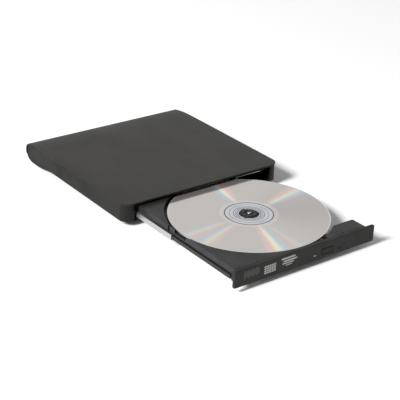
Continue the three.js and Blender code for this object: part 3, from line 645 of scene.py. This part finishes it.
def add_spindle(materials):
    """Disc seat with its rubber ring, the bright motor shaft, and the hub's three catches."""
    low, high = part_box("turntable")
    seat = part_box("optical_disc")[0].z - 0.3 * mm
    body = bmesh.new()
    lathe(body, [
        (1.6 * mm, low.z + 1.2 * mm), (13.0 * mm, low.z + 1.0 * mm), (13.2 * mm, low.z + 1.2 * mm),
        (13.2 * mm, seat - 1.2 * mm), (13.8 * mm, seat - 0.9 * mm), (13.8 * mm, seat - 0.2 * mm),
        (13.6 * mm, seat - 0.1 * mm), (13.2 * mm, seat - 0.1 * mm), (13.1 * mm, seat - 0.35 * mm),
        (10.6 * mm, seat - 0.35 * mm), (10.5 * mm, seat - 0.1 * mm), (10.1 * mm, seat - 0.1 * mm),
        (9.9 * mm, seat - 0.3 * mm), (1.6 * mm, seat - 0.3 * mm),
    ], spindle_axis, 96)
    add_piece("turntable_seat", body, materials["black steel"], "spindle",
              ["turntable"], smooth=30)
    ring = bmesh.new()
    lathe(ring, [
        (10.75 * mm, seat - 0.33 * mm), (12.95 * mm, seat - 0.33 * mm), (12.95 * mm, seat + 0.12 * mm),
        (12.7 * mm, seat + 0.2 * mm), (11.0 * mm, seat + 0.2 * mm), (10.75 * mm, seat + 0.12 * mm),
    ], spindle_axis, 96)
    add_piece("turntable_ring", ring, materials["rubber"], "spindle", smooth=50)
    shaft = bmesh.new()
    turned(shaft, [
        (1.2 * mm, low.z), (1.5 * mm, low.z + 0.2 * mm), (1.5 * mm, high.z - 0.45 * mm),
        (1.35 * mm, high.z - 0.2 * mm), (1.0 * mm, high.z - 0.05 * mm), (0.4 * mm, high.z),
    ], spindle_axis, 48)
    add_piece("motor_shaft", shaft, materials["bright steel"], "spindle", smooth=35)
    hub = bmesh.new()
    base, disc_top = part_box("hub")[0].z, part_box("optical_disc")[1].z
    lathe(hub, [
        (1.8 * mm, base), (7.1 * mm, base), (7.25 * mm, base + 0.15 * mm), (7.25 * mm, disc_top),
        (7.0 * mm, disc_top + 0.3 * mm), (6.5 * mm, disc_top + 0.3 * mm), (6.35 * mm, disc_top + 0.05 * mm),
        (5.9 * mm, disc_top + 0.05 * mm), (5.7 * mm, disc_top + 0.55 * mm), (3.7 * mm, disc_top + 0.6 * mm),
        (3.4 * mm, disc_top + 0.1 * mm), (2.3 * mm, disc_top + 0.1 * mm), (2.15 * mm, disc_top + 0.4 * mm),
        (1.8 * mm, disc_top + 0.4 * mm),
    ], spindle_axis, 72)
    add_piece("hub_body", hub, materials["black plastic"], "spindle", ["hub"], smooth=30)
    for number in range(3):
        add_hub_catch(number, materials["black plastic"])
    for number in range(6):
        add_hub_pin(number, disc_top, materials["rail steel"])


def add_hub_pin(number, disc_top, material):
    """One of the small steel pins set in a ring about the shaft."""
    turn = math.tau * (number + 0.5) / 6 + math.pi / 2
    centre = spindle_axis + 4.7 * mm * Vector((math.cos(turn), math.sin(turn), 0))
    pin = bmesh.new()
    turned(pin, [
        (0.28 * mm, disc_top + 0.3 * mm), (0.36 * mm, disc_top + 0.4 * mm),
        (0.36 * mm, disc_top + 0.66 * mm), (0.18 * mm, disc_top + 0.74 * mm),
    ], centre, 20)
    add_piece(f"hub_pin_{number + 1}", pin, material, "spindle", smooth=35)


def add_hub_catch(number, material):
    """One sprung catch, whose nose reaches just over the disc's edge."""
    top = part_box("optical_disc")[1].z
    turn = math.tau * number / 3 + math.pi / 2
    side = [
        (5.6, -0.5), (7.1, -0.5), (7.1, 0.12), (7.75, 0.14), (7.75, 0.26), (7.2, 0.52),
        (6.2, 0.56), (5.6, 0.42),
    ]
    outline = [(radius * mm, top + height * mm) for radius, height in side]

    def corner(radius, height, across):
        return (
            spindle_axis.x + radius * math.cos(turn) - across * math.sin(turn),
            spindle_axis.y + radius * math.sin(turn) + across * math.cos(turn),
            height,
        )

    shape = bmesh.new()
    prism(shape, outline, corner, -1.0 * mm, 1.0 * mm)
    add_piece(f"hub_catch_{number + 1}", shape, material, "spindle", bevel=0.1 * mm)


def add_lead_screw(material):
    """Brass screw with a rolled helical thread between plain ends."""
    low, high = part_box("lead_screw")
    centre = (low + high) / 2
    outer = (high.x - low.x) / 2
    depth, pitch, segments, plain = 0.28 * mm, 1.2 * mm, 24, 1.5 * mm
    steps = 12 * round((high.y - low.y) / pitch)
    rings = []
    shape = bmesh.new()
    for step in range(steps + 1):
        y = low.y + (high.y - low.y) * step / steps
        threaded = low.y + plain < y < high.y - plain
        ring = []
        for i in range(segments):
            turn = i / segments
            phase = ((y - low.y) / pitch + turn) % 1
            dip = depth * (1 - abs(2 * phase - 1)) if threaded else depth
            angle = math.tau * turn
            reach = outer - dip
            ring.append(shape.verts.new((
                centre.x + reach * math.cos(angle), y, centre.z + reach * math.sin(angle))))
        rings.append(ring)
    for first, second in zip(rings, rings[1:]):
        for i in range(segments):
            j = (i + 1) % segments
            shape.faces.new((first[i], first[j], second[j], second[i]))
    shape.faces.new(rings[0])
    shape.faces.new(rings[-1][::-1])
    add_piece("lead_screw_thread", shape, material, "screw", ["lead_screw"], smooth=35)


def add_label(name, body, corner, size, ceiling, material):
    """Thin film with round corners on a downward face at the given height."""
    low = (corner[0], corner[1])
    high = (corner[0] + size[0], corner[1] + size[1])
    film = bmesh.new()
    prism(film, rounded(low, high, 1.5 * mm, 6), lambda u, v, w: (u, v, w),
          ceiling - 0.12 * mm, ceiling - 0.01 * mm)
    add_piece(name, film, material, body, bevel=0.03 * mm)


def add_labels():
    """Blank rating films under the case and under the tray."""
    shell_low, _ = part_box("bottom_shell")
    case_label = label_film("case label film", 5 * mm)
    add_label("case_label", "case", (-38 * mm, shell_low.y + 34 * mm), (76 * mm, 46 * mm),
              flat_underside, case_label)
    plate_low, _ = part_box("tray_bottom_plate")
    tray_label = label_film("tray label film", 4 * mm)
    add_label("tray_label", "tray", (plate_low.x + 8 * mm, plate_low.y + 14 * mm),
              (26 * mm, 60 * mm), plate_low.z, tray_label)


# Generic printed marks on the bezel, from its left end and its underside, in millimetres
mark_bars = {"left": 8.2, "right": 22.0, "low": 5.2, "high": 11.2, "count": 8}
mark_panel = {"left": 25.6, "right": 36.0, "low": 3.4, "high": 9.9, "columns": 5, "rows": 4}
# Left, right, low and high of each stroke
mark_strokes = [
    (40.4, 53.0, 9.6, 11.0),
    (42.2, 54.6, 7.6, 8.9),
    (41.4, 51.8, 6.0, 7.0),
    (44.2, 50.4, 4.5, 5.2),
]
pocket_depth = 0.12 * mm
# Gap around the eject button, in millimetres: wider at its left and top
button_gap = {"narrow": 0.35, "wide": 0.6, "corner": 0.3, "depth": 0.5}


def mark_outlines():
    """Kind, tone and outline of every mark."""
    bars = mark_bars
    step = (bars["right"] - bars["left"]) / bars["count"]
    for i in range(bars["count"]):
        u = bars["left"] + step * i
        lift = 0.7 * (i % 2)
        bar = rounded((u, bars["low"] + lift), (u + step * 0.55, bars["high"] - lift), 0.35)
        yield "bar", "grey", bar
    panel = mark_panel
    wide = (panel["right"] - panel["left"]) / panel["columns"]
    tall = (panel["high"] - panel["low"]) / panel["rows"]
    for i in range(panel["columns"] * panel["rows"]):
        u = panel["left"] + wide * (i % panel["columns"])
        v = panel["low"] + tall * (i // panel["columns"])
        yield "tile", "pale", rounded((u, v), (u + wide * 0.86, v + tall * 0.8), 0.3, 3)
    for u0, u1, v0, v1 in mark_strokes:
        yield "stroke", "pale", rounded((u0, v0), (u1, v1), (v1 - v0) * 0.4)


def button_rebate(bezel_low):
    """Outline of the widened gap around the eject button."""
    low, high = ((corner - bezel_low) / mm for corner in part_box("eject_button"))
    wide, narrow = button_gap["wide"], button_gap["narrow"]
    return rounded((low.x - wide, low.z - narrow), (high.x + narrow, high.z + wide), button_gap["corner"])


def add_pocket_cutter(outlines, bezel_low, onto_front):
    """Hidden solid that cuts the marks' pockets and the button's gap."""
    pockets = bmesh.new()
    for _, _, outline in outlines:
        prism(pockets, outline, onto_front, -0.3 * mm, pocket_depth)
    prism(pockets, button_rebate(bezel_low), onto_front, -0.3 * mm, button_gap["depth"] * mm)
    bmesh.ops.recalc_face_normals(pockets, faces=pockets.faces)
    cutter = bpy.data.objects.new("pocket_cutter", bpy.data.meshes.new("pocket_cutter"))
    pockets.to_mesh(cutter.data)
    pockets.free()
    bpy.context.scene.collection.objects.link(cutter)
    cutter.hide_render = True
    cutter.parent = frame["bodies"]["tray"]
    return cutter


def add_bezel_marks(materials):
    """Marks inlaid in shallow pockets, which are cut into the bezel's front face."""
    low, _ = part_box("bezel")

    def onto_front(u, v, w):
        return (low.x + u * mm, low.y + w, low.z + v * mm)

    outlines = list(mark_outlines())
    cutter = add_pocket_cutter(outlines, low, onto_front)
    for i, (kind, tone, outline) in enumerate(outlines):
        inlay = bmesh.new()
        prism(inlay, outline, onto_front, 0.03 * mm, pocket_depth - 0.01 * mm)
        add_piece(f"mark_{kind}_{i + 1}", inlay, materials["mark " + tone], "tray")
    return cutter


# ---- Frame nodes ----------------------------------------------------------------------------

def refine(node, material, width, cutter=None):
    """Gives a CAD node its material, merges its flat faces and rounds its edges."""
    mesh = node.data
    mesh.materials.clear()
    mesh.materials.append(material)
    if "custom_normal" in mesh.attributes:
        mesh.attributes.remove(mesh.attributes["custom_normal"])
    mesh.shade_smooth()
    node.modifiers.new("weld", "WELD").merge_threshold = 0.002 * mm
    flats = node.modifiers.new("flats", "DECIMATE")
    flats.decimate_type = "DISSOLVE"
    flats.angle_limit = math.radians(0.4)
    if cutter:
        carve = node.modifiers.new("carve", "BOOLEAN")
        carve.object = cutter
        carve.solver = "EXACT"
    soften(node, width)


def make_materials():
    return {
        "cover": brushed_cover("brushed cover", srgb(45, 44, 42)),
        "case": moulded("case plastic", srgb(26, 26, 24), roughness=0.55, specular=0.18, edge_wear_and_highlight=0.1),
        "tray": moulded("tray plastic", srgb(38, 37, 37), grain=4800, roughness=0.42, specular=0.3),
        "bezel": moulded("bezel plastic", srgb(33, 33, 31), roughness=0.5, specular=0.22, edge_wear_and_highlight=0.8),
        "black plastic": moulded("black plastic", srgb(17, 17, 19), roughness=0.4, specular=0.24),
        "cream plastic": moulded("cream plastic", srgb(214, 208, 190), roughness=0.45, edge_wear_and_highlight=0.2),
        "rubber": rubber("rubber"),
        "sheet steel": metal("sheet steel", (0.60, 0.61, 0.62), (1800, 30, 1800), 0.34, 0.35),
        "bright steel": metal("bright steel", (0.66, 0.66, 0.67), (2600, 16, 2600), 0.24, 0.1),
        "plated steel": metal("plated steel", (0.78, 0.78, 0.78), (1800, 30, 1800), 0.44, 0.15),
        "rail steel": metal("rail steel", (0.56, 0.555, 0.55), (1500, 18, 1500), 0.42, 0.12),
        "black steel": metal("black steel", (0.07, 0.07, 0.075), (900, 900, 900), 0.38),
        "brass": metal("brass", (0.72, 0.52, 0.24), (1500, 1500, 1500), 0.26, 0.2),
        "board": circuit_board("circuit board"),
        "ribbon": ribbon_film("ribbon film"),
        "glass": lens_glass("lens glass"),
        "lamp": lamp_plastic("lamp plastic"),
        "mark pale": moulded("mark pale", srgb(172, 172, 167), roughness=0.55, edge_wear_and_highlight=0.1),
        "mark grey": moulded("mark grey", srgb(80, 80, 77), roughness=0.55, edge_wear_and_highlight=0.1),
    }


# Start of the node's name, material, and edge rounding in millimetres; the first match counts
node_finishes = [
    ("top_cover", "cover", 0.35), ("bottom_shell", "case", 0.3), ("foot_", "rubber", 0.4),
    ("case_screw", "black steel", 0.15), ("drive_pan", "sheet steel", 0.12),
    ("drive_cover", "plated steel", 0.12), ("rail_guide", "black plastic", 0.12),
    ("drive_connector", "black plastic", 0.15), ("bridge_connector", "cream plastic", 0.15),
    ("bridge_board", "board", 0.08), ("bridge_crystal", "bright steel", 0.2),
    ("usb_socket", "bright steel", 0.08), ("ribbon_cable", "ribbon", 0.04),
    ("ribbon_socket", "cream plastic", 0.15), ("latch_post", "bright steel", 0.15),
    ("tray_bottom_plate", "sheet steel", 0.1), ("tray_screw", "bright steel", 0.06),
    ("tray", "tray", 0.22), ("bezel", "bezel", 0.14), ("lamp_lens", "lamp", 0.1),
    ("front_board", "board", 0.08), ("control_board", "board", 0.08),
    ("latch_solenoid", "brass", 0.2), ("eject_button", "bezel", 0.14),
    ("mechanism_frame", "sheet steel", 0.1), ("guide_rod", "bright steel", 0.15),
    ("spindle_base", "board", 0.1), ("sled_motor", "bright steel", 0.25),
    ("objective_lens", "glass", 0.05), ("lens_holder", "black steel", 0.15),
    ("latch_hook", "cream plastic", 0.12), ("latch_pin", "bright steel", 0.08),
    ("rail_", "rail steel", 0.08), ("", "black plastic", 0.15),
]


def dress_nodes(materials, cutter):
    for name, node in nodes.items():
        _, material, width = next(row for row in node_finishes if name.startswith(row[0]))
        refine(node, materials[material], width * mm, cutter if name == "bezel" else None)


add_camera()
add_studio()
add_floor()
finishes = make_materials()
dress_nodes(finishes, add_bezel_marks(finishes))
add_disc()
add_spindle(finishes)
add_lead_screw(finishes["brass"])
add_labels()
